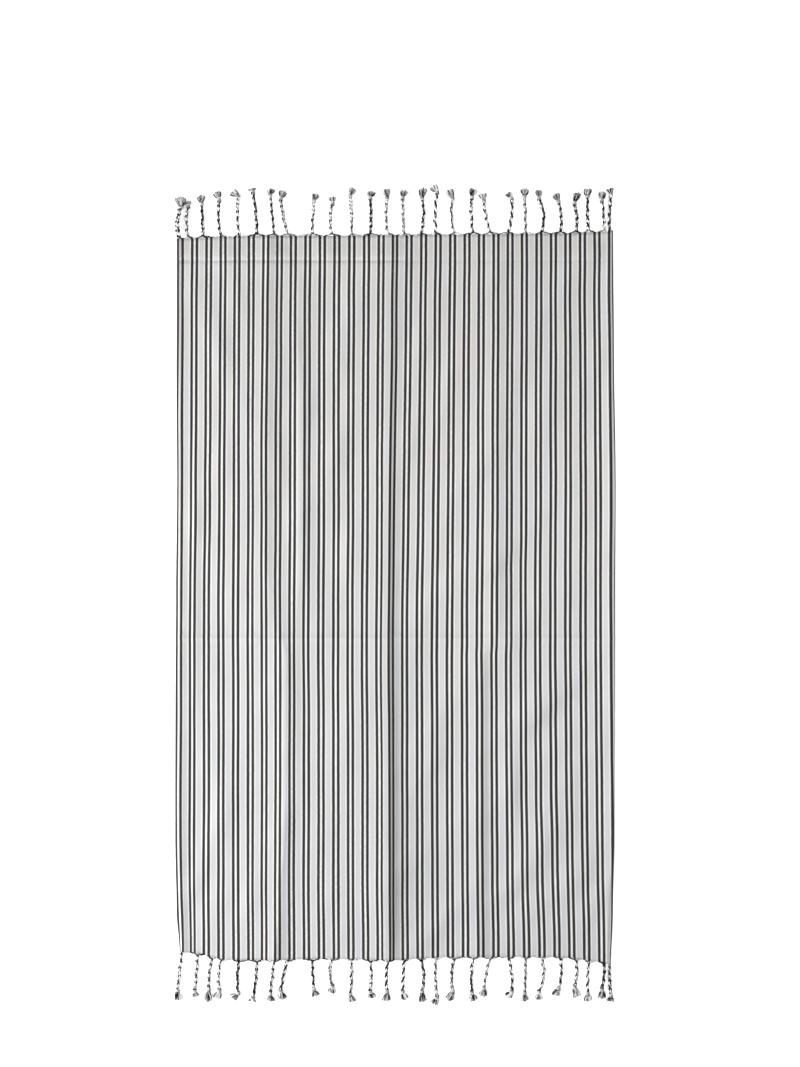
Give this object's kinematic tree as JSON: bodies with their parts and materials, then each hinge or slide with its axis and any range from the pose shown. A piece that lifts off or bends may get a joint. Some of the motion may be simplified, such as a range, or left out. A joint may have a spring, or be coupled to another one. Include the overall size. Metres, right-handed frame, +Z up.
{
  "type": "fouta towel",
  "caption": "Flat-woven striped cotton fouta towel laid out flat, with knotted tassels along both ends.",
  "frame": {"origin": "on the floor under the middle of the towel, fringes counted in", "axes": "+Y along the towel to its head end, +X across it to the right, +Z up from the floor"},
  "size_m": [0.9689, 1.798, 0.0138],
  "materials": {
    "striped_cotton": "matt flat weave, off-white and light grey with pairs of charcoal stripes",
    "warp_yarn": "matt twisted cotton yarns, off-white, grey and charcoal"
  },
  "bodies": {
    "root": {"cloth": "striped_cotton", "fringe_head": "warp_yarn", "fringe_foot": "warp_yarn"}
  },
  "joints": []
}
